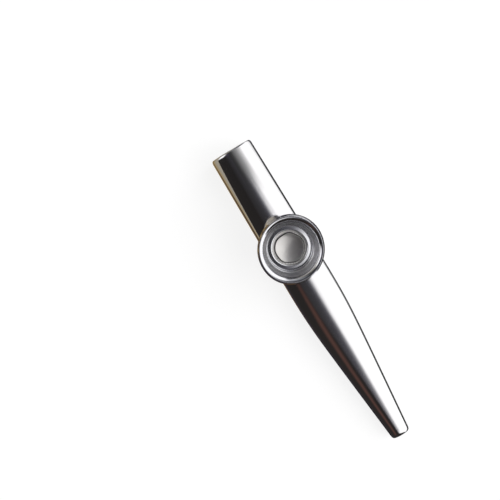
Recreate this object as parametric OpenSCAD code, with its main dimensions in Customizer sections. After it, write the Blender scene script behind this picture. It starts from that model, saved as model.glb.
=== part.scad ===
// Kazoo of folded sheet metal: two lapped shells, a turret with a screwed bell, and a membrane held under it.
// The mouth end is at low X, the tip at high X, and the flat belly rests on Z = 0.
// Lengths are in millimetres. A distance u runs along the body from the mouth end.

/* [Body] */
// Length from the mouth end to the tip
body_l = 120; // [105:1:140]
// Width across the mouth end
mouth_w = 15.9; // [15:0.1:18]
// Width at which the two straight stretches of the side would meet
shoulder_w = 17.7; // [17:0.1:19]
// Distance of that meeting point from the mouth end
shoulder_u = 66.5; // [60:0.5:75]
// Roundness of the shoulder between the two stretches
shoulder_round = 0.56; // [0.2:0.02:0.8]
// Width across the tip
tip_w = 7.1; // [6.4:0.1:9]
// Height at the mouth end
mouth_h = 13.8; // [12.8:0.1:15]
// Height at the tip
tip_h = 5.8; // [5.4:0.1:7]
// Height of the fold above the seam at the mouth end, as a share of the height there
mouth_fold_share = 0.64; // [0.58:0.01:0.68]
// Height of the fold above the seam at the tip, as a share of the height there
tip_fold_share = 0.59; // [0.56:0.01:0.64]
// Length of the flat part of the belly
belly_flat_l = 92; // [80:1:100]
// How far the belly rises at the tip
tip_lift = 0.6; // [0.2:0.1:0.9]
// Depth by which both ends are drawn in
end_draw_in = 0.6; // [0.3:0.05:0.8]
// Length over which both ends are drawn in
end_draw_l = 1.2; // [0.6:0.1:1.6]

/* [Sheet] */
// Thickness of the shells' sheet
sheet_t = 0.5; // [0.4:0.05:0.6]
// Depth of the upper shell's edge that laps over the lower shell
lap_h = 1.6; // [1.2:0.1:1.9]
// Gap between the lapped sheets
lap_gap = 0.05; // [0.03:0.01:0.1]

/* [Turret socket] */
// Distance of the turret's axis from the mouth end
turret_u = 40; // [34:0.5:46]
// Height of the collar above the body
collar_h = 4.2; // [3.8:0.1:5]
// Wall of the collar behind its thread
collar_wall = 0.3; // [0.25:0.05:0.6]
// Reach of the flared foot along the body, from the turret's axis
foot_r = 12.4; // [11:0.1:14]
// Height above the body at which the foot runs into the collar
foot_h = 2.4; // [2:0.1:3]
// Thickness of the foot at its edge
foot_edge_t = 0.25; // [0.15:0.05:0.4]
// Angle by which the foot reaches down each side of the arch
foot_wrap = 60; // [54:1:72]
// Gap between the foot and the upper shell
solder_gap = 0.05; // [0.03:0.01:0.1]
// Height of the seat above the body
seat_h = 0.5; // [0.4:0.1:0.8]
// Diameter of the air hole through the seat
air_hole_d = 13.2; // [12:0.1:13.6]
// Outer diameter of the spigot that passes through the upper shell
spigot_d = 14.4; // [14:0.1:15]
// Depth of the spigot below the top of the body
spigot_l = 3.2; // [2.6:0.1:3.8]
// Radial gap between the spigot and the upper shell
spigot_gap = 0.05; // [0.03:0.01:0.1]

/* [Thread] */
// Rise of the bell in one turn
thread_pitch = 1.2; // [0.9:0.1:1.5]
// Depth of the rolled thread
thread_depth = 0.28; // [0.2:0.02:0.32]
// Radial gap between the two threads
thread_gap = 0.12; // [0.1:0.01:0.16]

/* [Bell] */
// Diameter over the rolled rim
bell_d = 23.5; // [22.5:0.5:28]
// Height of the rim above the body
bell_h = 8.9; // [8:0.1:11]
// Inner diameter of the neck
neck_d = 16; // [15.6:0.1:16.2]
// Thickness of the bell's sheet
bell_t = 0.3; // [0.25:0.05:0.35]
// Diameter of the hole in the lip
lip_hole_d = 12.4; // [12:0.1:12.8]
// Diameter of the lip's raised crest
lip_crest_d = 13.5; // [13.3:0.1:14.2]
// Rise of the crest above the lip's foot
lip_rise = 0.35; // [0.2:0.05:0.4]
// Inner radius of the bend between the lip and the neck
lip_bend_r = 0.3; // [0.2:0.05:0.4]
// Diameter of the rolled rim
rim_roll_d = 1.7; // [1.4:0.1:2]
// Height of the ridges on the flare
ridge_depth = 0.1; // [0.05:0.01:0.14]
// Number of ridges on the flare
ridge_n = 5; // [3:1:6]

/* [Membrane] */
// Thickness of the washer on the seat
washer_t = 0.4; // [0.3:0.05:0.5]
// Outer diameter of the washer
washer_d = 15.8; // [15.4:0.1:16.6]
// Outer diameter of the ring that carries the film
ring_d = 15.6; // [15:0.1:16]
// Inner diameter of that ring
ring_bore_d = 12.9; // [12.6:0.1:13.4]
// Thickness of that ring
ring_t = 0.6; // [0.4:0.05:0.8]
// Diameter of the film
film_d = 15.2; // [14.6:0.1:15.6]
// Thickness of the film
film_t = 0.1; // [0.06:0.01:0.15]
// Gap below the ring and above the film
membrane_gap = 0.06; // [0.04:0.01:0.1]

/* [Hidden] */

metal = [0.78, 0.79, 0.81];
bell_metal = [0.72, 0.73, 0.77];
washer_red = [0.55, 0.25, 0.18];
ring_white = [0.92, 0.92, 0.9];
film_grey = [0.8, 0.82, 0.84, 0.6];

// Overrun of every cut past the face that it leaves
overrun = 0.5;
// Share of the lower shell's width that lies flat on the ground
belly_flat_share = 0.5;
// Height of the lower shell's corner, as a share of the fold's height above the belly
corner_h_share = 0.42;
// Stations of a drawn-in end, as shares of its length
end_shares = [0, 0.08, 0.25, 0.55, 1];
// Number of stretches between the two drawn-in ends
body_steps = 20;
// Number of steps round the arch, and round a lower corner
arch_steps = 20;
corner_steps = 6;

// Slope of the body's top line, which the turret stands square to
top_slope = atan((mouth_h - tip_h) / body_l);

// Threads: facets round one ring, and levels in one turn
thread_facets = 36;
thread_steps = 8;
// Metal left between the neck's sheet and the thread's root
thread_skin = 0.03;
bell_thread_r = neck_d / 2 + bell_t + thread_skin + thread_depth / 2;
socket_thread_r = bell_thread_r + thread_gap;
collar_r = socket_thread_r + thread_depth / 2 + collar_wall;

// Heights of the membrane's stack above the body
ring_h = seat_h + washer_t + membrane_gap;
film_h = ring_h + ring_t;
lip_h = film_h + film_t + membrane_gap;

// Foot: steps round it, and down its flare
foot_facets = 48;
flare_steps = 6;

$fn = 96;

function lerp(a, b, share) = a + (b - a) * share;
// Smaller of two values, with the corner between them rounded
function soft_min(a, b, round) = (a + b) / 2 - sqrt(pow((a - b) / 2, 2) + pow(round, 2));
// Depth of the drawn-in ends at u, which is zero between them
function end_in(u) =
    let (from_end = min(u, body_l - u))
    from_end >= end_draw_l ? 0 : end_draw_in * (1 - sqrt(1 - pow(1 - from_end / end_draw_l, 2)));

// Half width, top, fold and belly of the body at u
function side_y(u) = soft_min(
    lerp(mouth_w / 2, shoulder_w / 2, u / shoulder_u),
    lerp(tip_w / 2, shoulder_w / 2, (body_l - u) / (body_l - shoulder_u)),
    shoulder_round) - end_in(u);
function top_z(u) = lerp(mouth_h, tip_h, u / body_l) - end_in(u);
function fold_z(u) = lerp(mouth_h * mouth_fold_share, tip_h * tip_fold_share, u / body_l);
function belly_z(u) = tip_lift * pow(max(0, (u - belly_flat_l) / (body_l - belly_flat_l)), 2) + end_in(u);

stations = concat(
    [for (share = end_shares) share * end_draw_l],
    [for (i = [1 : body_steps - 1]) lerp(end_draw_l, body_l - end_draw_l, i / body_steps)],
    [for (i = [len(end_shares) - 1 : -1 : 0]) body_l - end_shares[i] * end_draw_l]);

// Points along an ellipse's arc
function arc(centre, a, b, from, to, steps) = [
    for (i = [0 : steps])
    let (angle = lerp(from, to, i / steps))
    centre + [a * cos(angle), b * sin(angle)]];
// The same outline points, mirrored left to right and in the other order
function mirrored(points) = [for (i = [len(points) - 1 : -1 : 0]) [-points[i][0], points[i][1]]];

// The upper shell's arch and its two lapped edges, drawn in by a depth from the outer face
function arch_outline(u, depth) = concat(
    [[side_y(u) - depth, fold_z(u) - lap_h]],
    arc([0, fold_z(u)], side_y(u) - depth, top_z(u) - fold_z(u) - depth, 0, 180, arch_steps),
    [[depth - side_y(u), fold_z(u) - lap_h]]);

// One side of the lower shell's trough, from its top edge to the flat of the belly
function trough_side(u, depth) =
    let (
        outer_y = side_y(u) - sheet_t - lap_gap,
        flat_y = outer_y * belly_flat_share,
        corner_z = lerp(belly_z(u), fold_z(u), corner_h_share))
    concat(
        [[outer_y - depth, fold_z(u)]],
        arc([flat_y, corner_z], outer_y - flat_y - depth, corner_z - belly_z(u) - depth, 0, -90, corner_steps));
function trough_outline(u, depth) = concat(trough_side(u, depth), mirrored(trough_side(u, depth)));

// A solid through closed outlines that stand across the body at the given distances. An outline has an even
// number of points, and its second half comes back beside the first.
module loft(distances, outlines) {
    rings = len(outlines);
    count = len(outlines[0]);
    points = [for (i = [0 : rings - 1]) for (p = outlines[i]) [distances[i] - body_l / 2, p[0], p[1]]];
    sides = [
        for (i = [0 : rings - 2])
        for (j = [0 : count - 1])
        let (a = i * count + j, b = i * count + (j + 1) % count)
        each [[a, a + count, b + count], [a, b + count, b]]];
    // Each end is closed by quads between the outline's first half and its second
    ends = [
        for (j = [0 : count / 2 - 2])
        let (k = count - 1 - j, far = (rings - 1) * count)
        each [[j, j + 1, k - 1], [j, k - 1, k], [far + k - 1, far + j + 1, far + j], [far + k, far + k - 1, far + j]]];
    polyhedron(points, concat(sides, ends), convexity = 6);
}

// A strip of sheet: one face's outline there and the other's back
function strip(there, back) = concat(there, [for (i = [len(back) - 1 : -1 : 0]) back[i]]);

// The turret's frame: its origin on the body's top line, its Z axis square to that line
module on_turret_axis(h = 0) {
    translate([turret_u - body_l / 2, 0, lerp(mouth_h, tip_h, turret_u / body_l)])
        rotate([0, top_slope, 0])
            translate([0, 0, h])
                children();
}

module ring(outer_d, inner_d, h) {
    difference() {
        cylinder(d = outer_d, h = h);
        translate([0, 0, -overrun]) cylinder(d = inner_d, h = h + 2 * overrun);
    }
}

// Radius of a right-hand rolled thread, seen as a circle that runs round the axis as it climbs
function thread_r(mean_r, angle, h) = mean_r + thread_depth / 2 * cos(angle - 360 * h / thread_pitch);

// A threaded rod from one height to another, with the thread's surface outside
module threaded_rod(mean_r, from_h, to_h) {
    levels = round((to_h - from_h) / thread_pitch * thread_steps);
    points = [
        for (i = [0 : levels])
        for (j = [0 : thread_facets - 1])
        let (h = lerp(from_h, to_h, i / levels), angle = 360 * j / thread_facets)
        let (r = thread_r(mean_r, angle, h))
        [r * cos(angle), r * sin(angle), h]];
    sides = [
        for (i = [0 : levels - 1])
        for (j = [0 : thread_facets - 1])
        let (a = i * thread_facets + j, b = i * thread_facets + (j + 1) % thread_facets)
        each [[a, b + thread_facets, b], [a, a + thread_facets, b + thread_facets]]];
    bottom = [for (j = [0 : thread_facets - 1]) j];
    top = [for (j = [thread_facets - 1 : -1 : 0]) levels * thread_facets + j];
    polyhedron(points, concat(sides, [bottom, top]), convexity = 4);
}

// A point of the turret's frame, in the frame that measures u from the mouth end
function turret_point(x, y, h) = [
    turret_u + x * cos(top_slope) + h * sin(top_slope),
    y,
    lerp(mouth_h, tip_h, turret_u / body_l) - x * sin(top_slope) + h * cos(top_slope)];

// Points of the foot at one angle round the turret: down the collar, down the flare to the foot's edge, and below
function foot_side(angle) =
    let (
        collar_top = turret_point(collar_r * cos(angle), collar_r * sin(angle), collar_h),
        start = turret_point(collar_r * cos(angle), collar_r * sin(angle), foot_h),
        u = turret_u + foot_r * cos(angle),
        wrap = foot_wrap * sin(angle),
        edge = [u, side_y(u) * sin(wrap), lerp(fold_z(u), top_z(u), cos(wrap)) + foot_edge_t],
        bend = [start[0], start[1], edge[2]],
        flare = [for (i = [0 : flare_steps])
            let (s = i / flare_steps)
            pow(1 - s, 2) * start + 2 * s * (1 - s) * bend + pow(s, 2) * edge])
    concat([collar_top], flare, [edge - [0, 0, foot_edge_t + 2 * sheet_t]]);

// The collar and its foot as a closed solid that reaches below the arch, ready to be cut to it
module foot_blank() {
    foot_sides = [for (j = [0 : foot_facets - 1]) foot_side(360 * j / foot_facets)];
    rings = len(foot_sides[0]);
    points = concat(
        [for (i = [0 : rings - 1]) for (j = [0 : foot_facets - 1]) foot_sides[j][i]],
        [[turret_u, 0, fold_z(turret_u)]]);
    sides = [
        for (i = [0 : rings - 2])
        for (j = [0 : foot_facets - 1])
        let (a = i * foot_facets + j, b = i * foot_facets + (j + 1) % foot_facets)
        each [[a, b, b + foot_facets], [a, b + foot_facets, a + foot_facets]]];
    top = [for (j = [foot_facets - 1 : -1 : 0]) j];
    base = (rings - 1) * foot_facets;
    bottom = [for (j = [0 : foot_facets - 1]) [base + j, base + (j + 1) % foot_facets, rings * foot_facets]];
    translate([-body_l / 2, 0, 0])
        polyhedron(points, concat(sides, bottom, [top]), convexity = 4);
}

// Everything below the arch near the turret, grown by the solder gap
module arch_block() {
    near = [for (u = stations) if (abs(u - turret_u) < 1.5 * foot_r + body_l / body_steps) u];
    loft(near, [for (u = near) concat(
        arc([0, fold_z(u)], side_y(u) + solder_gap, top_z(u) - fold_z(u) + solder_gap, 0, 180, arch_steps),
        [for (side = [-1 : 1]) [side * (side_y(u) + solder_gap), -overrun]])]);
}

module lower_shell() {
    color(metal)
        loft(stations, [for (u = stations) strip(trough_outline(u, sheet_t), trough_outline(u, 0))]);
}

module upper_shell() {
    color(metal)
        difference() {
            loft(stations, [for (u = stations) strip(arch_outline(u, 0), arch_outline(u, sheet_t))]);
            on_turret_axis(-spigot_l - overrun)
                cylinder(d = spigot_d + 2 * spigot_gap, h = spigot_l + 2 * overrun);
        }
}

module turret_socket() {
    color(metal)
        difference() {
            union() {
                difference() {
                    foot_blank();
                    arch_block();
                }
                on_turret_axis(-spigot_l)
                    cylinder(d = spigot_d, h = spigot_l + seat_h / 2);
            }
            on_turret_axis(-spigot_l - overrun)
                cylinder(d = air_hole_d, h = spigot_l + seat_h + 2 * overrun);
            on_turret_axis()
                threaded_rod(socket_thread_r, seat_h, collar_h + overrun);
        }
}

module seat_washer() {
    color(washer_red)
        on_turret_axis(seat_h)
            ring(washer_d, air_hole_d, washer_t);
}

module membrane_ring() {
    color(ring_white)
        on_turret_axis(ring_h)
            ring(ring_d, ring_bore_d, ring_t);
}

module membrane_film() {
    color(film_grey)
        on_turret_axis(film_h)
            cylinder(d = film_d, h = film_t);
}

// Middle line of the bell's sheet, as [radius, height], from the lip's hole to the end of the rolled rim
lip_steps = 5;
neck_mid_r = neck_d / 2 + bell_t / 2;
lip_mid_r = lip_hole_d / 2 + bell_t / 2;
lip_mid_h = lip_h + bell_t / 2;
bend_mid_r = lip_bend_r + bell_t / 2;
bend_centre = [neck_mid_r - bend_mid_r, lip_mid_h + bend_mid_r];
roll_mid_r = rim_roll_d / 2 - bell_t / 2;
roll_centre = [bell_d / 2 - rim_roll_d / 2, bell_h - rim_roll_d / 2];
// Points of the flare along each ridge
points_per_ridge = 8;
flare_points = points_per_ridge * ridge_n;
roll_steps = 16;
roll_end_angle = -110;
bell_line = concat(
    arc([lip_crest_d / 2, lip_mid_h], lip_crest_d / 2 - lip_mid_r, lip_rise, 180, 90, lip_steps),
    [for (i = [1 : lip_steps - 1])
        let (share = i / lip_steps)
        [lerp(lip_crest_d / 2, bend_centre[0], share), lip_mid_h + lip_rise * (1 + cos(180 * share)) / 2]],
    arc(bend_centre, bend_mid_r, bend_mid_r, -90, 0, lip_steps),
    [for (i = [0 : flare_points - 1])
        let (share = i / flare_points)
        [
            lerp(neck_mid_r, roll_centre[0] - roll_mid_r, share) + ridge_depth / 2 * (1 - cos(360 * ridge_n * share)),
            lerp(collar_h, roll_centre[1], share)
        ]],
    arc(roll_centre, roll_mid_r, roll_mid_r, 180, roll_end_angle, roll_steps));
// Unit normal to the middle line at one of its points, on the side away from the axis
function line_normal(line, i) =
    let (
        step = line[min(i + 1, len(line) - 1)] - line[max(i - 1, 0)],
        size = norm(step))
    [step[1] / size, -step[0] / size];
function beside(line, distance) = [for (i = [0 : len(line) - 1]) line[i] + distance * line_normal(line, i)];

module thread_sleeve() {
    // The sleeve's inner face lies within the neck's sheet
    difference() {
        threaded_rod(bell_thread_r, lip_h + lip_bend_r + bell_t, collar_h - overrun / 2);
        cylinder(r = neck_mid_r, h = bell_h);
    }
}

module turret_bell() {
    color(bell_metal)
        on_turret_axis() {
            rotate_extrude()
                polygon(strip(beside(bell_line, bell_t / 2), beside(bell_line, -bell_t / 2)));
            thread_sleeve();
        }
}

lower_shell();
upper_shell();
turret_socket();
seat_washer();
membrane_ring();
membrane_film();
turret_bell();
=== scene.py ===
"""Looks of a kazoo of polished sheet metal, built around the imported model.

Every solid of the model is remade here as a finer mesh from the same measures. Lengths are in
millimetres until a mesh is made, and u is the distance along the body from the mouth end.
"""

import math
import random

import bmesh
import bpy
from mathutils import Matrix, Vector, noise


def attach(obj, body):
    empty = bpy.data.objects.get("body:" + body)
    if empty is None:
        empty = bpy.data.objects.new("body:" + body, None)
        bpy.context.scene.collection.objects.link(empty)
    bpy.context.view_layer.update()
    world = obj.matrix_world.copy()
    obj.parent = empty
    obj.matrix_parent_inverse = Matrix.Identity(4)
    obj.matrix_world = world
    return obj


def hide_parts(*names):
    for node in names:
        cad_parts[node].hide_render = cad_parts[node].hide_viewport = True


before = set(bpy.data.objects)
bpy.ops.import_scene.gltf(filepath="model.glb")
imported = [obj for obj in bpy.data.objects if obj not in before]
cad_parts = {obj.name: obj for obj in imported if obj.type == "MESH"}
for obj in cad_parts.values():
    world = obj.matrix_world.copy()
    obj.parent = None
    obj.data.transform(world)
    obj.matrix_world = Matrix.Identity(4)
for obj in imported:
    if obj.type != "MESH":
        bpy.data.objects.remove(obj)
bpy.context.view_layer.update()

MM = 0.001
# Points of a mesh closer together than this, in metres, become one
MERGE_DISTANCE = 1e-7

# Body
BODY_L = 120
MOUTH_W = 15.9
MOUTH_H = 13.8
TIP_W = 7.1
TIP_H = 5.8
SHOULDER_W = 17.7
SHOULDER_U = 66.5
SHOULDER_ROUND = 0.56
# Height at which the arch goes over into the upright side, as a share of the body's height
MOUTH_FOLD_SHARE = 0.64
TIP_FOLD_SHARE = 0.59
BELLY_FLAT_L = 92
BELLY_FLAT_SHARE = 0.5
TIP_LIFT = 0.6
CORNER_H_SHARE = 0.42
# How far the sheet is drawn in at both ends, and over what length
END_DRAW_IN = 0.6
END_DRAW_L = 1.2
SHEET_T = 0.5
LAP_H = 1.6
LAP_GAP = 0.05

# Turret socket
TURRET_U = 40
COLLAR_H = 4.2
COLLAR_WALL = 0.3
COLLAR_ROUND_H = 0.15
FOOT_R = 12.4
FOOT_H = 2.4
FOOT_EDGE_T = 0.25
# Share by which the flare's line bends towards the corner below the collar; below 0, away from it
FOOT_SAG = -0.12
# Angle by which the foot reaches down each side of the arch
FOOT_WRAP = 53
SOLDER_GAP = 0.05
SEAT_H = 0.5
SEAT_EDGE = 0.05
AIR_HOLE_R = 6.6
SPIGOT_R = 7.2
SPIGOT_L = 3.2
SPIGOT_GAP = 0.05

# Thread; it fades out over a short height at its open ends
THREAD_PITCH = 1.2
THREAD_DEPTH = 0.28
THREAD_GAP = 0.12
THREAD_SKIN = 0.03
# Rings of points along one turn of a thread
THREAD_STEPS = 16
SOCKET_THREAD_FADE = 0.4
BELL_THREAD_FADE = 0.3
BELL_THREAD_END = 0.1

# Bell
BELL_R = 11.75
BELL_H = 8.9
NECK_R = 8
BELL_T = 0.3
LIP_CREST_R = 6.6
LIP_CREST_ROUND = 0.55
LIP_SLOPE = 5
LIP_BEND_R = 0.22
# How far the lip's crest and hole sit off the turret's axis, and which way
LIP_OFF = 0.05
LIP_OFF_WAY = Vector((-0.905, -0.425, 0))
# Rounded shoulder from the neck out to the flare, with a short sloping ledge
BELL_SHOULDER_R = 0.3
BELL_SHOULDER_LIFT = 0.05
BELL_SHOULDER_SLOPE = 20
BELL_SHOULDER_L = 0.15
FLARE_R = 1.45
RIDGE_DEPTH = 0.07
RIDGE_N = 4
RIM_T = 0.08
RIM_CREST_R = 11.08
RIM_CREST_ROUND = 0.05
RIM_SKIRT_ANGLE = 26
RIM_CURL_R = 0.4
RIM_CURL_END = -110
# Share by which the rim is stretched, and the direction of the stretch across the turret
RIM_OVAL = 0.05
OVAL_WAY = Vector((-0.855, 0.518, 0))
# Dents of the rim: depth, length round the rim, how fast they change down it, and the width over which
# they set in outside the crest
RIM_WRINKLE = 0.03
RIM_WRINKLE_L = 0.9
RIM_WRINKLE_RATE = 0.5
RIM_WRINKLE_START = 0.3

# Membrane
WASHER_T = 0.4
WASHER_R = 7.9
WASHER_EDGE_R = 0.08
RING_R = 7.8
RING_BORE_R = 6.45
RING_T = 0.6
RING_EDGE_R = 0.12
FILM_R = 7.6
FILM_T = 0.1
MEMBRANE_GAP = 0.06

# Form of the film: dished up towards the edge of its free part, and pleated round that edge
FREE_R = 5.25
FREE_FALL_L = 0.5
# Waves of that edge: depth, number round the film and phase
FREE_WAVES = ((0.08, 5, 0.7), (0.06, 7, 2))
DISH_FLOOR = 0.05
DISH_CURVE = 0.024
DISH_SINK = 0.06
PLEAT_N = 37
PLEAT_H = 0.04
PLEAT_L = 0.35
PLEAT_OFF = 0.15
# The pleats crowd together and spread again: how far they shift, and how often round the film
PLEAT_SHIFT = 2
PLEAT_SHIFT_N = 3
# Soft folds that run outwards: lowest and highest start, half width and height
FOLD_SEED = 11
FOLD_N = 9
FOLD_START = (2.6, 4.6)
FOLD_HALF_W = (0.12, 0.3)
FOLD_H = (-0.04, 0.05)
FOLD_RISE_L = 1.5
# Slow unevenness: depth, waves to the millimetre and a seed
FILM_SWELLS = ((0.05, 0.25, 3.1), (0.008, 1.6, 7.7))
# The film is flat from here outwards, and settles over this width
CLAMP_R = 6.3
CLAMP_L = 0.5
# Share of the film's room that its sheet fills
FILM_SHEET_SHARE = 0.8

BELL_THREAD_R = NECK_R + BELL_T + THREAD_SKIN + THREAD_DEPTH / 2
SOCKET_THREAD_R = BELL_THREAD_R + THREAD_GAP
COLLAR_R = SOCKET_THREAD_R + THREAD_DEPTH / 2 + COLLAR_WALL
RING_H = SEAT_H + WASHER_T + MEMBRANE_GAP
FILM_H = RING_H + RING_T
LIP_H = FILM_H + FILM_T + MEMBRANE_GAP

# Points round a turned piece
SHELL_HOLE_SEGMENTS = 160
RING_SEGMENTS = 192
SOCKET_SEGMENTS = 288
THREAD_SEGMENTS = 288
FILM_SEGMENTS = 360
BELL_SEGMENTS = 720


# Shape of the body

def lerp(a, b, share):
    return a + (b - a) * share


def clamped(value):
    """The value, held between 0 and 1."""
    return min(1, max(0, value))


def eased(share):
    return share * share * (3 - 2 * share)


def soft_min(a, b, roundness):
    return (a + b) / 2 - math.sqrt(((a - b) / 2) ** 2 + roundness ** 2)


def side_y(u):
    return soft_min(
        lerp(MOUTH_W / 2, SHOULDER_W / 2, u / SHOULDER_U),
        lerp(TIP_W / 2, SHOULDER_W / 2, (BODY_L - u) / (BODY_L - SHOULDER_U)),
        SHOULDER_ROUND)


def top_z(u):
    return lerp(MOUTH_H, TIP_H, u / BODY_L)


def fold_z(u):
    return lerp(MOUTH_H * MOUTH_FOLD_SHARE, TIP_H * TIP_FOLD_SHARE, u / BODY_L)


def belly_z(u):
    return TIP_LIFT * max(0, (u - BELLY_FLAT_L) / (BODY_L - BELLY_FLAT_L)) ** 2


def arch_z(u, y, lift=0):
    """Height of the arch's outer face, grown by lift, at a place across the body."""
    share = min(1, abs(y) / (side_y(u) + lift))
    return fold_z(u) + (top_z(u) - fold_z(u) + lift) * math.sqrt(1 - share ** 2)


def sheet_pairs(lip_steps=5, roll_steps=8, length_steps=100):
    """Places (u, depth) of a sheet's outer and inner face, from its rolled-in mouth end to its tip."""
    edge_r = SHEET_T / 2
    near = []
    for i in range(lip_steps):
        t = math.pi / 2 * i / lip_steps
        depth = END_DRAW_IN + edge_r * math.cos(t)
        near.append(((edge_r * (1 - math.sin(t)), depth), (edge_r * (1 + math.sin(t)), depth)))
    for i in range(roll_steps + 1):
        t = math.pi / 2 * i / roll_steps
        near.append((
            (END_DRAW_L * (1 - math.cos(t)), END_DRAW_IN * (1 - math.sin(t))),
            (END_DRAW_L - (END_DRAW_L - SHEET_T) * math.cos(t),
             END_DRAW_IN - (END_DRAW_IN - SHEET_T) * math.sin(t))))
    middle = []
    for i in range(1, length_steps):
        u = lerp(END_DRAW_L, BODY_L - END_DRAW_L, i / length_steps)
        middle.append(((u, 0), (u, SHEET_T)))
    far = [tuple((BODY_L - u, depth) for u, depth in pair) for pair in reversed(near)]
    return near + middle + far


def arch_side(u, depth, arc_steps=96, lap_steps=4):
    """The upper shell's face across the body, from one lapped edge over the arch to the other."""
    y, fold, rise = side_y(u) - depth, fold_z(u), top_z(u) - fold_z(u) - depth
    bottom = fold - LAP_H + SHEET_T / 2
    right = [(y, lerp(bottom, fold, i / lap_steps)) for i in range(lap_steps)]
    arc = []
    for i in range(arc_steps + 1):
        t = math.pi * i / arc_steps
        arc.append((y * math.cos(t), fold + rise * math.sin(t)))
    left = [(-a, b) for a, b in reversed(right)]
    return right + arc + left


def trough_side(u, depth, corner_steps=20, wall_steps=4, flat_steps=4):
    """The lower shell's face across the body, from one top edge under the belly to the other."""
    outer = side_y(u) - SHEET_T - LAP_GAP
    flat = outer * BELLY_FLAT_SHARE
    belly = belly_z(u)
    corner = lerp(belly, fold_z(u), CORNER_H_SHARE)
    half = [(outer - depth, lerp(fold_z(u), corner, i / wall_steps)) for i in range(wall_steps)]
    for i in range(corner_steps + 1):
        t = math.pi / 2 * i / corner_steps
        half.append((
            flat + (outer - flat - depth) * math.cos(t),
            corner - (corner - belly - depth) * math.sin(t)))
    middle = [(lerp(flat, -flat, i / flat_steps), belly + depth) for i in range(1, flat_steps)]
    return half + middle + [(-a, b) for a, b in reversed(half)]


def shell_loops(side, edge_sign, edge_steps=4):
    """Closed outlines of a bent sheet, its two long edges rounded towards edge_sign along Z."""

    def face(u, depth):
        return [Vector((u - BODY_L / 2, y, z)) for y, z in side(u, depth)]

    def edge(start, end):
        points = []
        for i in range(1, edge_steps):
            t = math.pi * i / edge_steps
            point = start.lerp(end, (1 - math.cos(t)) / 2)
            point.z += edge_sign * SHEET_T / 2 * math.sin(t)
            points.append(point)
        return points

    loops = []
    for outer_place, inner_place in sheet_pairs():
        outer, inner = face(*outer_place), face(*inner_place)
        loops.append(outer + edge(outer[-1], inner[-1]) + inner[::-1] + edge(inner[0], outer[0]))
    return loops


# Shape of the turret

TOP_SLOPE = math.atan((MOUTH_H - TIP_H) / BODY_L)
TURRET = (Matrix.Translation((TURRET_U - BODY_L / 2, 0, top_z(TURRET_U)))
          @ Matrix.Rotation(TOP_SLOPE, 4, "Y"))


def turret_point(r, angle, h):
    """A point by its distance from the turret's axis, its angle and its height above the body."""
    return TURRET @ Vector((r * math.cos(angle), r * math.sin(angle), h))


def arc_line(centre, radius, start, end, steps):
    """Points of an arc, as (radius, height), between two angles in degrees."""
    line = []
    for i in range(steps + 1):
        t = math.radians(lerp(start, end, i / steps))
        line.append((centre[0] + radius[0] * math.cos(t), centre[1] + radius[1] * math.sin(t)))
    return line


def round_line(centre, radius, start, end, steps):
    return arc_line(centre, (radius, radius), start, end, steps)


def lip_line(hole_steps=16, bend_steps=14):
    """Middle line of the lip, from its hole over its crest to the bend into the neck."""
    half_t = BELL_T / 2
    bend_r = LIP_BEND_R + half_t
    crest_r = LIP_CREST_ROUND - half_t
    bend = (NECK_R + half_t - bend_r, LIP_H + half_t + bend_r)
    slope = math.radians(LIP_SLOPE)
    drop = (bend_r + crest_r) / math.cos(slope) - (bend[0] - LIP_CREST_R) * math.tan(slope)
    crest = (LIP_CREST_R, bend[1] - drop)
    hole_angle = 180 - math.degrees(math.asin((LIP_H + half_t - crest[1]) / crest_r))
    line = round_line(crest, crest_r, hole_angle, 90 - LIP_SLOPE, hole_steps)
    return line + round_line(bend, bend_r, -90 - LIP_SLOPE, 0, bend_steps)


def flare_line(shoulder_steps=10, corner_steps=6, ridge_steps=24, round_steps=24):
    """Middle line of the flare, from the shoulder at the neck over the ridged wall to the rim's crest."""
    shoulder = (NECK_R + BELL_T / 2 + BELL_SHOULDER_R, COLLAR_H + BELL_SHOULDER_LIFT)
    line = round_line(shoulder, BELL_SHOULDER_R, 180, 90 + BELL_SHOULDER_SLOPE, shoulder_steps)
    ledge = Vector(line[-1])
    tilt = math.radians(BELL_SHOULDER_SLOPE)
    corner = ledge + BELL_SHOULDER_L * Vector((math.cos(tilt), math.sin(tilt)))

    flare = (RIM_CREST_R, BELL_H - RIM_T / 2 - FLARE_R)
    across = Vector(flare) - corner
    wall_angle = math.atan2(across.y, across.x) + math.asin(FLARE_R / across.length)
    start = corner + BELL_SHOULDER_L * Vector((math.cos(wall_angle), math.sin(wall_angle)))
    end = Vector(flare) + FLARE_R * Vector((-math.sin(wall_angle), math.cos(wall_angle)))
    for i in range(1, corner_steps):
        share = i / corner_steps
        line.append(tuple(ledge.lerp(corner, share).lerp(corner.lerp(start, share), share)))
    wall_steps = ridge_steps * RIDGE_N
    for i in range(wall_steps):
        share = i / wall_steps
        point = start.lerp(end, share)
        swell = RIDGE_DEPTH / 2 * (1 - math.cos(2 * math.pi * RIDGE_N * share))
        line.append((point.x + swell, point.y))
    return line + round_line(flare, FLARE_R, 90 + math.degrees(wall_angle), 90, round_steps)


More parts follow.
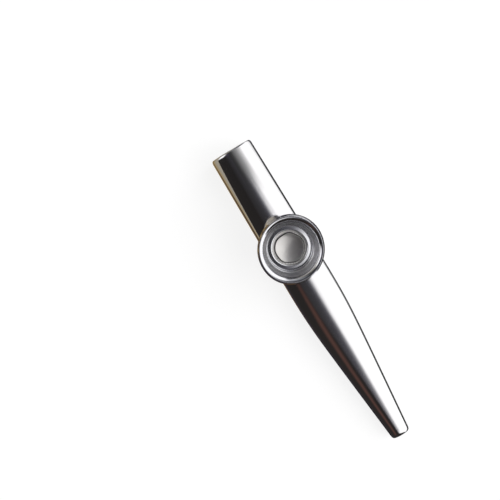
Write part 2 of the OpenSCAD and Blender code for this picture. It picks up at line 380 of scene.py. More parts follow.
def rim_line(crest_steps=10, skirt_steps=6, curl_steps=24):
    """Middle line of the rim, from its thin crest down the skirt and round the curl."""
    rim_half = RIM_T / 2
    skirt = math.radians(RIM_SKIRT_ANGLE)
    crest = (RIM_CREST_R, BELL_H - rim_half - RIM_CREST_ROUND)
    curl_r = BELL_R - rim_half - RIM_CURL_R
    drop = (curl_r + (RIM_CURL_R - RIM_CREST_ROUND) * math.cos(skirt) - RIM_CREST_R) / math.tan(skirt)
    curl = (curl_r, crest[1] + (RIM_CREST_ROUND - RIM_CURL_R) * math.sin(skirt) - drop)
    line = round_line(crest, RIM_CREST_ROUND, 90, RIM_SKIRT_ANGLE, crest_steps)[1:]
    start = Vector(line[-1])
    end = Vector(curl) + RIM_CURL_R * Vector((math.cos(skirt), math.sin(skirt)))
    line += [tuple(start.lerp(end, i / skirt_steps)) for i in range(1, skirt_steps)]
    return line + round_line(curl, RIM_CURL_R, RIM_SKIRT_ANGLE, RIM_CURL_END, curl_steps)


def bell_thickness(r):
    """The bell's sheet is drawn thinner towards its rim."""
    return lerp(BELL_T, RIM_T, clamped((r - NECK_R - BELL_T) / (RIM_CREST_R - NECK_R - BELL_T)))


def sheet_outline(line, thickness, edge_steps=6):
    """Closed outline of a sheet about its middle line, with round edges.

    The sheet's thickness is a function of the radius.
    """
    points = [Vector(p) for p in line]
    normals = []
    for i in range(len(points)):
        step = points[min(i + 1, len(points) - 1)] - points[max(i - 1, 0)]
        normals.append(Vector((step.y, -step.x)).normalized())
    halves = [thickness(p.x) / 2 for p in points]
    there = [p + n * half for p, n, half in zip(points, normals, halves)]
    back = [p - n * half for p, n, half in zip(points, normals, halves)]

    def cap(i, sign):
        along = Vector((-normals[i].y, normals[i].x)) * sign
        out = []
        for k in range(1, edge_steps):
            t = math.pi * k / edge_steps
            out.append(points[i] + halves[i] * (normals[i] * math.cos(t) * sign + along * math.sin(t)))
        return out

    return there + cap(-1, 1) + list(reversed(back)) + cap(0, -1)


def bell_shift(place):
    """How far a place of the bell, measured from the turret, moves off its round form."""
    radius = math.hypot(place.x, place.y)
    stretch = clamped((radius - NECK_R - BELL_T) / (RIM_CREST_R - NECK_R))
    move = OVAL_WAY * OVAL_WAY.dot(place) * RIM_OVAL * stretch
    lip_edge = NECK_R - LIP_BEND_R
    if radius < lip_edge:
        move = LIP_OFF_WAY * LIP_OFF * eased(min(1, (lip_edge - radius) / (lip_edge - LIP_CREST_R)))
    if radius > RIM_CREST_R:
        outwards = Vector((place.x, place.y, 0)) / radius
        down_rim = Vector((0, 0, place.z * RIM_WRINKLE_RATE))
        dent = 1 + noise.noise(outwards * radius / RIM_WRINKLE_L + down_rim)
        move = move - outwards * RIM_WRINKLE * min(1, (radius - RIM_CREST_R) / RIM_WRINKLE_START) * dent
    return move


def thread_r(mean_r, angle, h, share=1):
    """Radius of a thread's face; share fades its ridge."""
    return mean_r + share * THREAD_DEPTH / 2 * math.cos(angle - 2 * math.pi * h / THREAD_PITCH)


def thread_levels(low, high):
    """Heights of the rings of points along a thread."""
    count = round((high - low) / THREAD_PITCH * THREAD_STEPS)
    return [lerp(low, high, i / count) for i in range(count + 1)]


def full_turn(segments):
    return [2 * math.pi * j / segments for j in range(segments)]


def level_ring(angles, radius, h):
    return [turret_point(radius, t, h) for t in angles]


def collar_rings(angles, round_steps=8):
    """Rings up the socket's inside, over its thread and rounded top, and down the collar."""
    round_low = COLLAR_H - COLLAR_ROUND_H
    rings = [level_ring(angles, AIR_HOLE_R, lerp(-SPIGOT_L, SEAT_H - SEAT_EDGE, share))
             for share in (0, 0.5, 1)]
    rings.append(level_ring(angles, AIR_HOLE_R + SEAT_EDGE, SEAT_H))
    rings.append(level_ring(angles, SOCKET_THREAD_R - THREAD_DEPTH / 2, SEAT_H))
    for h in thread_levels(SEAT_H, round_low)[1:]:
        fade = min(1, (COLLAR_H - h) / SOCKET_THREAD_FADE)
        rings.append([turret_point(thread_r(SOCKET_THREAD_R, t, h, fade), t, h) for t in angles])
    inner_r = SOCKET_THREAD_R + THREAD_DEPTH / 2
    middle, half_wall = (inner_r + COLLAR_R) / 2, (COLLAR_R - inner_r) / 2
    for r, h in arc_line((middle, round_low), (half_wall, COLLAR_ROUND_H), 180, 0, round_steps):
        rings.append(level_ring(angles, r, h))
    for share in (0.33, 0.66):
        rings.append(level_ring(angles, COLLAR_R, lerp(round_low, FOOT_H, share)))
    return rings


def foot_rings(angles, flare_steps=28, under_steps=12):
    """Rings down the foot's flare to its edge, and back under it to the end of the spigot."""
    to_u = Vector((BODY_L / 2, 0, 0))
    starts, bends, edges = [], [], []
    for t in angles:
        u = TURRET_U + FOOT_R * math.cos(t)
        wrap = math.radians(FOOT_WRAP * math.sin(t))
        edge_z = lerp(fold_z(u), top_z(u), math.cos(wrap)) + FOOT_EDGE_T
        start = turret_point(COLLAR_R, t, FOOT_H) + to_u
        edge = Vector((u, side_y(u) * math.sin(wrap), edge_z))
        starts.append(start)
        bends.append(start.lerp(edge, 0.5).lerp(Vector((start.x, start.y, edge.z)), FOOT_SAG))
        edges.append(edge)

    rings = []
    for i in range(flare_steps + 1):
        s = i / flare_steps
        rings.append([(1 - s) ** 2 * a + 2 * s * (1 - s) * b + s ** 2 * c - to_u
                      for a, b, c in zip(starts, bends, edges)])
    for share in (0.5, 1):
        rings.append([
            Vector((edge.x, edge.y, lerp(edge.z, arch_z(edge.x, edge.y, SOLDER_GAP), share))) - to_u
            for edge in edges])
    for i in range(1, under_steps + 1):
        share = i / under_steps
        ring = []
        for t, edge in zip(angles, edges):
            inner = turret_point(SPIGOT_R, t, 0) + to_u
            x, y = lerp(edge.x, inner.x, share), lerp(edge.y, inner.y, share)
            ring.append(Vector((x, y, arch_z(x, y, SOLDER_GAP))) - to_u)
        rings.append(ring)
    spigot_top, spigot_end = rings[-1], level_ring(angles, SPIGOT_R, -SPIGOT_L)
    for share in (0.5, 1):
        rings.append([a.lerp(b, share) for a, b in zip(spigot_top, spigot_end)])
    return rings


def bell_thread_rings(angles):
    """Closed rings of the bell's rolled thread, whose back lies within the neck's sheet."""
    low, high = LIP_H + LIP_BEND_R + BELL_T, COLLAR_H - BELL_THREAD_END
    back, face = NECK_R + BELL_T / 2, NECK_R + BELL_T
    rings = [level_ring(angles, back, low)]
    for h in thread_levels(low, high):
        fade = min(1, (h - low) / BELL_THREAD_FADE, (high - h) / BELL_THREAD_FADE)
        rings.append([
            turret_point(lerp(face, thread_r(BELL_THREAD_R, t, h), fade), t, h) for t in angles])
    rings.append(level_ring(angles, back, high))
    return rings


def film_folds():
    """Soft folds of the film, each as (direction, start, half width, height)."""
    chance = random.Random(FOLD_SEED)
    folds = []
    for _ in range(FOLD_N):
        angle = chance.uniform(0, 2 * math.pi)
        folds.append((angle, chance.uniform(*FOLD_START), chance.uniform(*FOLD_HALF_W),
                      chance.uniform(*FOLD_H)))
    return folds


def film_height(r, t, folds):
    """Height of the film's upper face at a distance from the turret's axis and an angle."""
    x, y = r * math.cos(t), r * math.sin(t)
    edge = FREE_R + sum(depth * math.sin(count * t + phase) for depth, count, phase in FREE_WAVES)
    fall = clamped((r - edge + FREE_FALL_L / 2) / FREE_FALL_L)
    dish = (DISH_FLOOR + DISH_CURVE * r * r) * (1 - eased(fall))
    pleat = PLEAT_H * math.exp(-((r - edge - PLEAT_OFF) / PLEAT_L) ** 2)
    pleat *= math.sin(PLEAT_N * t + PLEAT_SHIFT * math.sin(PLEAT_SHIFT_N * t))
    crease = 0
    for angle, start, half_w, height in folds:
        if math.cos(t - angle) > 0:
            off = r * math.sin(t - angle)
            crease += height * math.exp(-(off / half_w) ** 2) * clamped((r - start) / FOLD_RISE_L)
    swell = sum(depth * noise.noise((x * rate, y * rate, seed)) for depth, rate, seed in FILM_SWELLS)
    free = clamped((CLAMP_R - r) / CLAMP_L)
    return FILM_H + FILM_T + free * (dish - DISH_SINK + pleat + crease + swell)


# Meshes

def new_object(name, data):
    thing = bpy.data.objects.new(name, data)
    bpy.context.scene.collection.objects.link(thing)
    return thing


def make_piece(name, points, faces):
    """An object from points in millimetres, its doubles merged and its faces turned outwards."""
    mesh = bpy.data.meshes.new(name)
    mesh.from_pydata([p * MM for p in points], [], faces)
    work = bmesh.new()
    work.from_mesh(mesh)
    bmesh.ops.remove_doubles(work, verts=work.verts, dist=MERGE_DISTANCE)
    bmesh.ops.dissolve_degenerate(work, edges=work.edges, dist=MERGE_DISTANCE)
    bmesh.ops.recalc_face_normals(work, faces=work.faces)
    for face in work.faces:
        face.smooth = True
    work.to_mesh(mesh)
    work.free()
    return new_object(name, mesh)


def grid_faces(rings, count, start=0, closed_rings=False):
    """Quads between rings of count points, each ring closed on itself."""
    faces = []
    for i in range(rings if closed_rings else rings - 1):
        here, there = start + i * count, start + (i + 1) % rings * count
        for j in range(count):
            k = (j + 1) % count
            faces.append((here + j, here + k, there + k, there + j))
    return faces


def loft_piece(name, rings, closed_rings=False):
    """A skin over rings of points; where closed_rings is set, the last one joins the first."""
    points = [p for ring in rings for p in ring]
    return make_piece(name, points, grid_faces(len(rings), len(rings[0]), closed_rings=closed_rings))


def turned_points(outline, segments):
    return [turret_point(r, t, h) for r, h in outline for t in full_turn(segments)]


def turned_piece(name, outline, segments):
    """A ring turned about the turret's axis from a closed outline."""
    points = turned_points(outline, segments)
    return make_piece(name, points, grid_faces(len(outline), segments, closed_rings=True))


def flat_ring_outline(r_in, r_out, low, high, edge_r, steps=4):
    """Closed outline of a flat ring with rounded edges."""
    outline = []
    for r, h, start in ((r_out - edge_r, high - edge_r, 90), (r_out - edge_r, low + edge_r, 0),
                        (r_in + edge_r, low + edge_r, -90), (r_in + edge_r, high - edge_r, -180)):
        outline += round_line((r, h), edge_r, start, start - 90, steps)
    return outline


def cut_round_hole(piece, radius, low, high, segments):
    """Cuts the turret's round hole through a piece."""
    points = turned_points([(radius, low), (radius, high)], segments)
    faces = grid_faces(2, segments)
    faces += [tuple(range(segments)), tuple(range(segments, 2 * segments))]
    cutter = make_piece("cutter", points, faces)
    cut = piece.modifiers.new("hole", "BOOLEAN")
    cut.operation, cut.solver, cut.object = "DIFFERENCE", "EXACT", cutter
    bpy.context.view_layer.update()
    graph = bpy.context.evaluated_depsgraph_get()
    mesh = bpy.data.meshes.new_from_object(piece.evaluated_get(graph))
    piece.modifiers.remove(cut)
    old = piece.data
    piece.data = mesh
    bpy.data.meshes.remove(old)
    bpy.data.objects.remove(cutter)


def film_piece(name, segments, rings=120):
    """The film: dished, pleated where it is clamped, with a few soft folds."""
    folds = film_folds()
    points, faces = [], []
    for side in (0, 1):
        depth = side * FILM_T * FILM_SHEET_SHARE
        for i in range(rings):
            r = FILM_R * (i + 0.5) / rings if i < rings - 1 else FILM_R
            points += [turret_point(r, t, film_height(r, t, folds) - depth) for t in full_turn(segments)]
        faces += grid_faces(rings, segments, start=side * rings * segments)
    last, other = (rings - 1) * segments, (2 * rings - 1) * segments
    for j in range(segments):
        k = (j + 1) % segments
        faces.append((last + j, last + k, other + k, other + j))
    for side in (0, 1):
        centre, first = len(points), side * rings * segments
        depth = side * FILM_T * FILM_SHEET_SHARE
        points.append(turret_point(0, 0, film_height(0, 0, folds) - depth))
        faces += [(first + j, first + (j + 1) % segments, centre) for j in range(segments)]
    return make_piece(name, points, faces)


def bell_piece(name, segments, thread_segments):
    """The bell's sheet and its rolled thread."""
    outline = sheet_outline(lip_line() + flare_line() + rim_line(), bell_thickness)
    points = turned_points(outline, segments)
    to_turret, turn = TURRET.inverted(), TURRET.to_3x3()
    for point in points:
        point += turn @ bell_shift(to_turret @ point)
    faces = grid_faces(len(outline), segments, closed_rings=True)
    rings = bell_thread_rings(full_turn(thread_segments))
    faces += grid_faces(len(rings), thread_segments, start=len(points), closed_rings=True)
    points += [p for ring in rings for p in ring]
    return make_piece(name, points, faces)


# Materials

class Nodes:
    """A material's or world's node tree, with short calls to add and link its nodes."""

    def __init__(self, owner):
        owner.use_nodes = True
        self.tree = owner.node_tree
        self.tree.nodes.clear()

    def set(self, socket, value):
        """Links a socket to another one, or gives it a fixed value."""
        if isinstance(value, bpy.types.NodeSocket):
            self.tree.links.new(value, socket)
        else:
            socket.default_value = value

    def add(self, kind, links=None, **settings):
        node = self.tree.nodes.new("ShaderNode" + kind)
        for key, value in settings.items():
            setattr(node, key, value)
        for key, value in (links or {}).items():
            self.set(node.inputs[key], value)
        return node

    def math(self, operation, a, b=None, clamp=False):
        links = {0: a} if b is None else {0: a, 1: b}
        return self.add("Math", links, operation=operation, use_clamp=clamp).outputs[0]

    def product(self, *factors):
        total = factors[0]
        for factor in factors[1:]:
            total = self.math("MULTIPLY", total, factor)
        return total

    def weighted(self, *terms):
        """Sum of values, each times its weight."""
        total = None
        for value, weight in terms:
            part = value if weight == 1 else self.math("MULTIPLY", value, weight)
            total = part if total is None else self.math("ADD", total, part)
        return total

    def vector(self, operation, a, b=None, output="Vector"):
        links = {0: a} if b is None else {0: a, 1: b}
        return self.add("VectorMath", links, operation=operation).outputs[output]

    def times(self, vector, share):
        return self.add("VectorMath", {0: vector, "Scale": share}, operation="SCALE").outputs[0]

    def step(self, value, low, high):
        """A soft step from 0 at low to 1 at high."""
        return self.add("MapRange", {"Value": value, "From Min": low, "From Max": high},
                        interpolation_type="SMOOTHSTEP").outputs[0]

    def ramp(self, value, stops, low=0, high=1, unit=1):
        """A colour ramp over values between low and high units; each stop is (value, colour)."""
        share = self.add("MapRange", {
            "Value": value, "From Min": low * unit, "From Max": high * unit}).outputs[0]
        node = self.add("ValToRGB", {0: share})
        ramp = node.color_ramp
        while len(ramp.elements) < len(stops):
            ramp.elements.new(1)
        for element, (place, colour) in zip(ramp.elements, stops):
            element.position = (place - low) / (high - low)
            element.color = (*colour, 1) if len(colour) == 3 else colour
        return node.outputs[0]

    def noise(self, vector, scale, detail=2, roughness=0.5):
        return self.add("TexNoise", {
            "Vector": vector, "Scale": scale, "Detail": detail, "Roughness": roughness}).outputs["Fac"]

    def mix_colour(self, share, a, b, blend="MIX"):
        return self.add("Mix", {0: share, 6: a, 7: b}, data_type="RGBA", blend_type=blend).outputs[2]

    def relief(self, *layers):
        """The normal under layers of relief, each as (height, depth in millimetres)."""
        normal = None
        for height, depth in layers:
            links = {"Height": height, "Strength": 1.0, "Distance": depth * MM}
            if normal is not None:
                links["Normal"] = normal
            normal = self.add("Bump", links).outputs[0]
        return normal

    def place(self):
        return self.add("TexCoord").outputs["Object"]

    def glow(self, colour, strength=1.0):
        return self.add("Emission", {"Color": colour, "Strength": strength}).outputs[0]


def grey(value):
    return (value, value, value, 1)


def new_material(name):
    material = bpy.data.materials.new(name)
    return material, Nodes(material)


def surface(name):
    """A new material with its nodes and its shader."""
    material, nodes = new_material(name)
    shader = nodes.add("BsdfPrincipled")
    nodes.add("OutputMaterial", {"Surface": shader.outputs[0]})
    return material, nodes, shader


def bell_wall(nodes, place):
    """How much a place belongs to the bell's inner wall, and its direction from the turret's axis."""
    axis = tuple(TURRET.to_3x3() @ Vector((0, 0, 1)))
    offset = nodes.vector("SUBTRACT", place, TURRET.translation * MM)
    along = nodes.times(axis, nodes.vector("DOT_PRODUCT", offset, axis, "Value"))
    outwards = nodes.vector("SUBTRACT", offset, along)
    radius = nodes.vector("LENGTH", outwards, output="Value")
    wall = nodes.ramp(
        radius, ((8.1, grey(0)), (8.3, grey(1)), (9.4, grey(1)), (9.9, grey(0))), 7, 12, unit=MM)
    return wall, nodes.vector("NORMALIZE", outwards)


def metal_material(name, tint, rough, peel, peel_scale, wave, wall_dull=0, wall_streak=0):
    """Polished sheet metal with a fine orange peel, slow waves and wipe marks.

    Where wall_dull is given, the bell's inner wall is duller by it, with streaks wall_streak deep.
    """
    darker, gloss_spread = 0.97, 0.05
    material, nodes, shader = surface(name)
    place = nodes.place()
    cloud = nodes.noise(place, scale=260, detail=3)
    shaded = tuple(c * darker for c in tint)
    smear = nodes.noise(place, scale=90, detail=4, roughness=0.6)
    grain = nodes.noise(place, scale=5200, roughness=0.6)
    gloss = nodes.math(
        "ADD", nodes.weighted((smear, gloss_spread), (grain, gloss_spread)), rough - gloss_spread)
    layers = [(nodes.noise(place, scale=110, detail=1), wave),
              (nodes.noise(place, peel_scale, roughness=0.6), peel)]
    if wall_dull:
        wall, way = bell_wall(nodes, place)
        gloss = nodes.weighted((gloss, 1), (wall, wall_dull))
        layers.append((nodes.product(nodes.noise(way, scale=34, roughness=0.6), wall), wall_streak))
    shader.inputs["Metallic"].default_value = 1
    nodes.set(shader.inputs["Base Color"], nodes.mix_colour(cloud, (*shaded, 1), (*tint, 1)))
    nodes.set(shader.inputs["Roughness"], gloss)
    nodes.set(shader.inputs["Normal"], nodes.relief(*layers))
    return material


def film_material():
    """Thin metallised film, darker where it is seen aslant, as painted shade."""
    material, nodes, shader = surface("film_grey")
    place = nodes.place()
    cloud = nodes.noise(place, scale=500)
    straight = nodes.mix_colour(cloud, (0.68, 0.66, 0.64, 1), (0.78, 0.76, 0.74, 1))
    # Painted shade: the colour darkens where the film is seen aslant, as at its tilted edges
    facing = nodes.add("LayerWeight", {"Blend": 0.5}).outputs["Facing"]
    aslant = nodes.add("MapRange", {"Value": facing, "From Min": 0.06, "From Max": 0.32}).outputs[0]
    nodes.set(shader.inputs["Base Color"], nodes.mix_colour(aslant, straight, (0.17, 0.165, 0.16, 1)))
    shader.inputs["Roughness"].default_value = 0.29
    shader.inputs["Metallic"].default_value = 0.94
    nodes.set(shader.inputs["Normal"], nodes.relief((nodes.noise(place, scale=1500), 0.006)))
    return material


def matt_material(name, dark, light, rough, scale, depth):
    """A matt surface whose colour and relief vary finely."""
    material, nodes, shader = surface(name)
    cloud = nodes.noise(nodes.place(), scale, detail=4, roughness=0.6)
    nodes.set(shader.inputs["Base Color"], nodes.mix_colour(cloud, (*dark, 1), (*light, 1)))
    shader.inputs["Roughness"].default_value = rough
    nodes.set(shader.inputs["Normal"], nodes.relief((cloud, depth)))
    return material


shell_metal = metal_material(
    "shell_metal", tint=(0.9, 0.89, 0.9), rough=0.1, peel=0.004, peel_scale=2300, wave=0.02)
bell_metal = metal_material(
    "bell_metal", tint=(0.86, 0.86, 0.89), rough=0.12, peel=0.004, peel_scale=3000, wave=0.006,
    wall_dull=0.16, wall_streak=0.05)
film_grey = film_material()
washer_fibre = matt_material(
    "washer_fibre", dark=(0.2, 0.07, 0.04), light=(0.36, 0.15, 0.09), rough=0.8, scale=2600, depth=0.04)
ring_plastic = matt_material(
    "ring_plastic", dark=(0.7, 0.7, 0.68), light=(0.8, 0.8, 0.78), rough=0.4, scale=900, depth=0.01)


def dress(piece, material, body, slot, *replaced):
    piece.data.materials.clear()
    piece.data.materials.append(material)
    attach(piece, body)
    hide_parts(*replaced)


# Pieces

upper = loft_piece("upper_shell_skin", shell_loops(arch_side, -1))
cut_round_hole(upper, SPIGOT_R + SPIGOT_GAP, -SPIGOT_L, SPIGOT_L, SHELL_HOLE_SEGMENTS)
dress(upper, shell_metal, "body", "shell_metal", "upper_shell")

lower = loft_piece("lower_shell_skin", shell_loops(trough_side, 1))
dress(lower, shell_metal, "body", "shell_metal", "lower_shell")

socket_angles = full_turn(SOCKET_SEGMENTS)
socket = loft_piece(
    "turret_socket_skin", collar_rings(socket_angles) + foot_rings(socket_angles), closed_rings=True)
dress(socket, shell_metal, "body", "shell_metal", "turret_socket")

washer = turned_piece("seat_washer_skin", flat_ring_outline(
    AIR_HOLE_R, WASHER_R, SEAT_H, SEAT_H + WASHER_T, WASHER_EDGE_R), RING_SEGMENTS)
dress(washer, washer_fibre, "body", "seat_fibre", "seat_washer")

ring = turned_piece("membrane_ring_skin", flat_ring_outline(
    RING_BORE_R, RING_R, RING_H, RING_H + RING_T, RING_EDGE_R), RING_SEGMENTS)
dress(ring, ring_plastic, "membrane", "ring_plastic", "membrane_ring")

film = film_piece("membrane_film_skin", FILM_SEGMENTS)
dress(film, film_grey, "membrane", "film", "membrane_film")

bell = bell_piece("turret_bell_skin", BELL_SEGMENTS, THREAD_SEGMENTS)
dress(bell, bell_metal, "bell", "bell_metal", "turret_bell")


# Camera

CAMERA_PLACE = Vector((-40.27, -8.98, 349.99)) * MM
CAMERA_BACK = Vector((-0.04093, 0.00991, 0.99911))
CAMERA_UP = Vector((-0.85464, 0.51767, -0.04015))
CAMERA_LENS = 69.04
CAMERA_SENSOR_W = 36
CAMERA_NEAR = 0.01

camera_data = bpy.data.cameras.new("camera")
camera_data.lens = CAMERA_LENS
camera_data.sensor_width = CAMERA_SENSOR_W
camera_data.sensor_fit = "HORIZONTAL"
camera_data.clip_start = CAMERA_NEAR
camera = new_object("camera", camera_data)
# The picture's own directions, by which the studio light is placed too
back = CAMERA_BACK.normalized()
right = CAMERA_UP.cross(back).normalized()
up = back.cross(right)
camera.matrix_world = Matrix.Translation(CAMERA_PLACE) @ Matrix((right, up, back)).transposed().to_4x4()
bpy.context.scene.camera = camera


# Stage

# Half the side of the floor, in metres
FLOOR_HALF = 3
# Half the length and half the width of the strip close to the body
CLOSE_STRIP = (60, 8.5)
# Painted reflection: what the metal shows of the floor on the bright side, by distance beyond that strip;
# the dark close to the body is painted shade
FLOOR_BRIGHT = ((0, (0.022, 0.02, 0.03)), (15, (0.05, 0.048, 0.058)), (38, (0.95, 0.95, 0.95)))
# The same painted reflection on the dim side: close to the strip, by place along the body, and farther off;
# tan near the mouth end, and dark towards the tip and farther off as painted shade
FLOOR_DIM = ((-62, (0.36, 0.25, 0.1)), (-25, (0.3, 0.2, 0.08)), (-5, (0.2, 0.13, 0.06)),
             (6, (0.08, 0.05, 0.03)), (22, (0.012, 0.011, 0.011)))
FLOOR_DIM_FAR = (0.034, 0.03, 0.036, 1)
# Painted shade round the bell: the bright floor that the metal shows is darkened round this place, by
# distance from it
BELL_PLACE = (-18, 0, 0)
BELL_SHADE = ((38, (0.07, 0.065, 0.08)), (52, grey(1)))
# Painted shade: the bright floor that the metal shows is weaker towards the tip, by place along the body
TIP_SHADE = ((-5, grey(1)), (25, grey(0.33)), (50, grey(0.14)))

# Ends of the tan card on the floor, its height there, and its colour by height, dark along its foot; the
# card glows, a painted reflection seen only in the metal
TAN_CARD_START = (-75, -9.7)
TAN_CARD_START_H = 20.25
TAN_CARD_END = (-22, -41)
TAN_CARD_END_H = 12.75
TAN_COLOURS_H = 15
TAN_COLOURS = (
    (0, (0.06, 0.045, 0.04)), (3, (0.08, 0.055, 0.04)), (4, (0.34, 0.25, 0.115)),
    (8, (0.36, 0.275, 0.15)), (9.5, (0.33, 0.29, 0.22)), (TAN_COLOURS_H, (0.36, 0.33, 0.27)))

# Sides of the mouth card, its height, and its grey by place across the body; the card glows, a painted
# reflection seen only in the metal
MOUTH_CARD_X = (-85, -34)
MOUTH_CARD_Y = (-12, 42)
MOUTH_CARD_Z = 60
MOUTH_COLOURS = (
    (-12, grey(0.02)), (-2, grey(0.045)), (4, grey(0.13)), (16, grey(0.31)), (26, grey(0.6)),
    (36, grey(0.9)), (42, grey(1)))


def stage_sheet(name, corners, material, seen=True):
    """A flat sheet of the stage from four corners in metres; one not seen shows only in the metal."""
    mesh = bpy.data.meshes.new(name)
    mesh.from_pydata(corners, [], [(0, 1, 2, 3)])
    mesh.materials.append(material)
    sheet = new_object(name, mesh)
    sheet.visible_camera = sheet.visible_diffuse = seen
    sheet.visible_shadow = sheet.visible_transmission = seen


def painted_floor_reflection(nodes):
    """What the metal shows of the floor, as painted reflection with painted shade near the body: dim to the
    picture's left, and bright far off to its right.
    """
    place = nodes.place()
    axes = nodes.add("SeparateXYZ", {0: place})
    beyond = []
    for axis, reach in enumerate(CLOSE_STRIP):
        size = nodes.math("ABSOLUTE", axes.outputs[axis])
        beyond.append(nodes.math("MAXIMUM", nodes.math("SUBTRACT", size, reach * MM), 0))
    far = nodes.math("SQRT", nodes.math(
        "ADD", nodes.math("POWER", beyond[0], 2), nodes.math("POWER", beyond[1], 2)))
    close_dim = nodes.ramp(axes.outputs[0], FLOOR_DIM, -70, 60, unit=MM)
    far_share = nodes.ramp(far, ((7, grey(0)), (12, grey(1))), 0, 20, unit=MM)
    dim = nodes.mix_colour(far_share, close_dim, FLOOR_DIM_FAR)

    bright = nodes.ramp(far, FLOOR_BRIGHT, 0, 60, unit=MM)
    # Painted shade in the reflected floor round the bell
    bell_place = tuple(c * MM for c in BELL_PLACE)
    from_bell = nodes.vector("DISTANCE", place, bell_place, "Value")
    bright = nodes.mix_colour(1.0, bright, nodes.ramp(from_bell, BELL_SHADE, 30, 60, unit=MM), "MULTIPLY")
    # Painted shade in the reflected floor towards the tip
    tip_shade = nodes.ramp(axes.outputs[0], TIP_SHADE, -10, 60, unit=MM)
    bright = nodes.mix_colour(1.0, bright, tip_shade, "MULTIPLY")
    side = nodes.ramp(axes.outputs[1], ((-9, grey(0)), (9, grey(1))), -20, 20, unit=MM)
    return nodes.mix_colour(side, dim, bright)


def floor_material():
    """Pale floor, white to the camera with a faint shadow; the metal shows a glowing painted reflection of
    it instead.
    """
    material, nodes = new_material("floor")
    rays = nodes.add("LightPath").outputs
    seen = nodes.math("ADD", rays["Is Camera Ray"], rays["Is Transmission Ray"], clamp=True)
    pale = nodes.add("BsdfDiffuse", {"Color": grey(0.8)}).outputs[0]
    shadowed = nodes.add("BsdfDiffuse", {"Color": grey(0.21)}).outputs[0]
    white = nodes.add("AddShader", {0: nodes.glow(grey(1), 0.85), 1: shadowed}).outputs[0]
    plain = nodes.add("MixShader", {0: seen, 1: pale, 2: white}).outputs[0]
    # Glossy rays see the floor's painted reflection as a glow
    both = nodes.add("MixShader", {0: rays["Is Glossy Ray"], 1: plain, 2: nodes.glow(painted_floor_reflection(nodes))})
    nodes.add("OutputMaterial", {"Surface": both.outputs[0]})
    return material


def tan_card_material():
    material, nodes = new_material("tan_card")
    axes = nodes.add("SeparateXYZ", {0: nodes.place()}).outputs
    colour = nodes.ramp(axes[2], TAN_COLOURS, 0, TAN_COLOURS_H, unit=MM)
    # The card glows in these colours as painted reflection, lighting nothing
    nodes.add("OutputMaterial", {"Surface": nodes.glow(colour)})
    return material


def mouth_card_material():
    """Glowing grey across the body, from dark to white, as painted reflection, and clear towards the card's
    edges.
    """
    material, nodes = new_material("mouth_card")
    axes = nodes.add("SeparateXYZ", {0: nodes.place()}).outputs
    colour = nodes.ramp(axes[1], MOUTH_COLOURS, *MOUTH_CARD_Y, unit=MM)
    along = nodes.ramp(axes[0], ((-47, grey(1)), (-35, grey(0))), -60, -30, unit=MM)
    across = nodes.ramp(axes[1], (
        (-12, grey(0)), (-4, grey(1)), (30, grey(1)), (41, grey(0))), *MOUTH_CARD_Y, unit=MM)
    clear = nodes.add("BsdfTransparent").outputs[0]
    shade = nodes.add("MixShader", {0: nodes.product(along, across), 1: clear, 2: nodes.glow(colour)})
    nodes.add("OutputMaterial", {"Surface": shade.outputs[0]})
    return material


def tan_card():
    """A low tan card beside the mouth end, seen only in the metal, where its glow is a painted reflection.
    """
    corners = [Vector(corner) * MM for corner in (
        (*TAN_CARD_START, 0), (*TAN_CARD_END, 0),
        (*TAN_CARD_END, TAN_CARD_END_H), (*TAN_CARD_START, TAN_CARD_START_H))]
    stage_sheet("tan_card", corners, tan_card_material(), seen=False)


def mouth_card():
    """A graded card high above the mouth end, seen only in the metal there as a painted reflection."""
    (near_x, far_x), (near_y, far_y) = MOUTH_CARD_X, MOUTH_CARD_Y
    corners = [Vector((x, y, MOUTH_CARD_Z)) * MM
               for x, y in ((near_x, near_y), (far_x, near_y), (far_x, far_y), (near_x, far_y))]
    stage_sheet("mouth_card", corners, mouth_card_material(), seen=False)


stage_sheet("floor", [(-FLOOR_HALF, -FLOOR_HALF, 0), (FLOOR_HALF, -FLOOR_HALF, 0),
                      (FLOOR_HALF, FLOOR_HALF, 0), (-FLOOR_HALF, FLOOR_HALF, 0)], floor_material())
tan_card()
mouth_card()


# Studio light, by direction in the picture: across is 1 straight to the right and -1 to the left, upwards
# is 1 straight up, and towards is 1 straight out of the picture

# Where the bright side begins to the right, for each height in the picture
BRIGHT_BEGINS = (
    (-1, -0.6), (-0.5, 0.05), (-0.44, 0.12), (-0.39, 0.17), (-0.33, 0.21), (-0.27, 0.22), (-0.22, 0.18),
    (-0.07, 0.185), (-0.02, 0.26), (0.1, 0.28), (0.3, 0.24), (0.5, 0.18), (1, 0.3))
# Strength of the bright side at its strongest, and its colour by distance past where it begins
BRIGHT_MOST = 4
BRIGHT_COLOURS = (
    (-0.8, (0, 0, 0)), (-0.5, (0.008, 0.008, 0.009)), (-0.2, (0.022, 0.022, 0.026)),
    (-0.1, (0.045, 0.044, 0.055)), (-0.045, (0.13, 0.13, 0.145)), (0, (0.33, 0.33, 0.345)),
    (0.035, (0.64, 0.64, 0.655)), (0.075, (1, 1, 1)), (0.15, (1.2, 1.2, 1.2)), (0.3, (1.8, 1.8, 1.8)),
    (0.5, (BRIGHT_MOST, BRIGHT_MOST, BRIGHT_MOST)))
# Faint light everywhere, for each height in the picture
FAINT_COLOURS = (
    (-1, (0.03, 0.026, 0.024)), (-0.3, (0.016, 0.015, 0.015)), (0, (0.022, 0.022, 0.022)),
    (1, (0.03, 0.03, 0.033)))
LEFT_COLOUR = (1.1, 1.1, 1.1)
TOP_COLOUR = (0.2, 0.21, 0.225)
CORNER_COLOUR = (0.3, 0.28, 0.24)
VIOLET_COLOUR = (0.03, 0.024, 0.05)
STREAK_COLOUR = (0.07, 0.028, 0.02)
# The metal shows no light brighter than this
MIRRORED_MOST = (1.15, 1.15, 1.15)


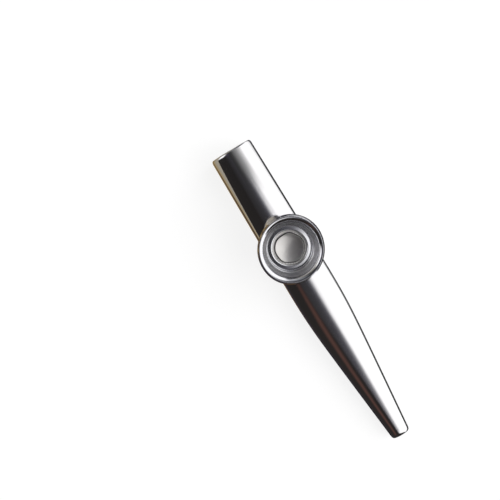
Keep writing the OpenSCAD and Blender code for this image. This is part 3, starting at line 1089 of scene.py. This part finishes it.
def bright_side(nodes, across, upwards, towards):
    """The bright side to the picture's right, which ends low in the picture."""
    begins = nodes.ramp(
        upwards, tuple((height, grey((place + 1) / 2)) for height, place in BRIGHT_BEGINS), -1, 1)
    begins = nodes.math("SUBTRACT", nodes.math("MULTIPLY", begins, 2), 1)
    past = nodes.math("SUBTRACT", across, begins)
    lit = nodes.ramp(past, tuple(
        (place, tuple(c / BRIGHT_MOST for c in colour)) for place, colour in BRIGHT_COLOURS), -1, 1)
    height = nodes.weighted((upwards, 1), (across, 0.56), (nodes.math("POWER", towards, 4), 0.8))
    return nodes.times(lit, nodes.product(nodes.step(height, -0.12, 0.12), BRIGHT_MOST))


def lesser_lights(nodes, across, upwards, towards):
    """A light on the left, a pale one at the top, a beige corner, a violet tint and a brown streak."""
    step, product = nodes.step, nodes.product
    leftward = nodes.math("MULTIPLY", across, -1)
    corner = nodes.weighted((leftward, 0.84), (upwards, 0.54))
    left = product(
        step(leftward, 0.45, 0.6), step(nodes.weighted((upwards, 1), (leftward, 0.3)), -0.08, 0.08),
        step(towards, 0.36, 0.46), step(nodes.weighted((leftward, 0.5), (upwards, -1)), -0.08, 0.08),
        step(corner, 0.9, 0.76))
    top = product(step(leftward, 0.4, 0.2), step(upwards, 0.2, 0.45), step(upwards, 0.85, 0.6))
    violet = product(step(leftward, 0.1, 0.32), step(upwards, -0.3, -0.1), step(upwards, 0.2, 0.05))
    off_streak = nodes.math("ABSOLUTE", nodes.math(
        "ADD", nodes.weighted((across, 1), (upwards, -0.3)), 0.095))
    streak = product(step(off_streak, 0.13, 0), step(upwards, -0.38, -0.5), step(upwards, -0.85, -0.7))
    return [nodes.times(colour, share) for colour, share in (
        (LEFT_COLOUR, left), (TOP_COLOUR, top), (CORNER_COLOUR, step(corner, 0.55, 0.78)),
        (VIOLET_COLOUR, violet), (STREAK_COLOUR, streak))]


def world_light():
    """The room round the kazoo, and plain white where the camera looks past everything."""
    world = bpy.data.worlds.new("studio")
    bpy.context.scene.world = world
    nodes = Nodes(world)
    way = nodes.add("TexCoord").outputs["Generated"]
    parts = [nodes.vector("DOT_PRODUCT", way, tuple(axis), "Value") for axis in (right, up, back)]
    total = bright_side(nodes, *parts)
    for light in lesser_lights(nodes, *parts) + [nodes.ramp(parts[1], FAINT_COLOURS, -1, 1)]:
        total = nodes.vector("ADD", total, light)
    rays = nodes.add("LightPath").outputs
    mirrored = nodes.vector("MINIMUM", total, MIRRORED_MOST)
    total = nodes.mix_colour(rays["Is Glossy Ray"], total, mirrored)
    studio = nodes.add("Background", {"Color": total, "Strength": 1.0}).outputs[0]
    white = nodes.add("Background", {"Color": grey(1), "Strength": 1.0}).outputs[0]
    both = nodes.add("MixShader", {0: rays["Is Camera Ray"], 1: studio, 2: white})
    nodes.add("OutputWorld", {"Surface": both.outputs[0]})


world_light()

bpy.context.scene.view_settings.view_transform = "Standard"
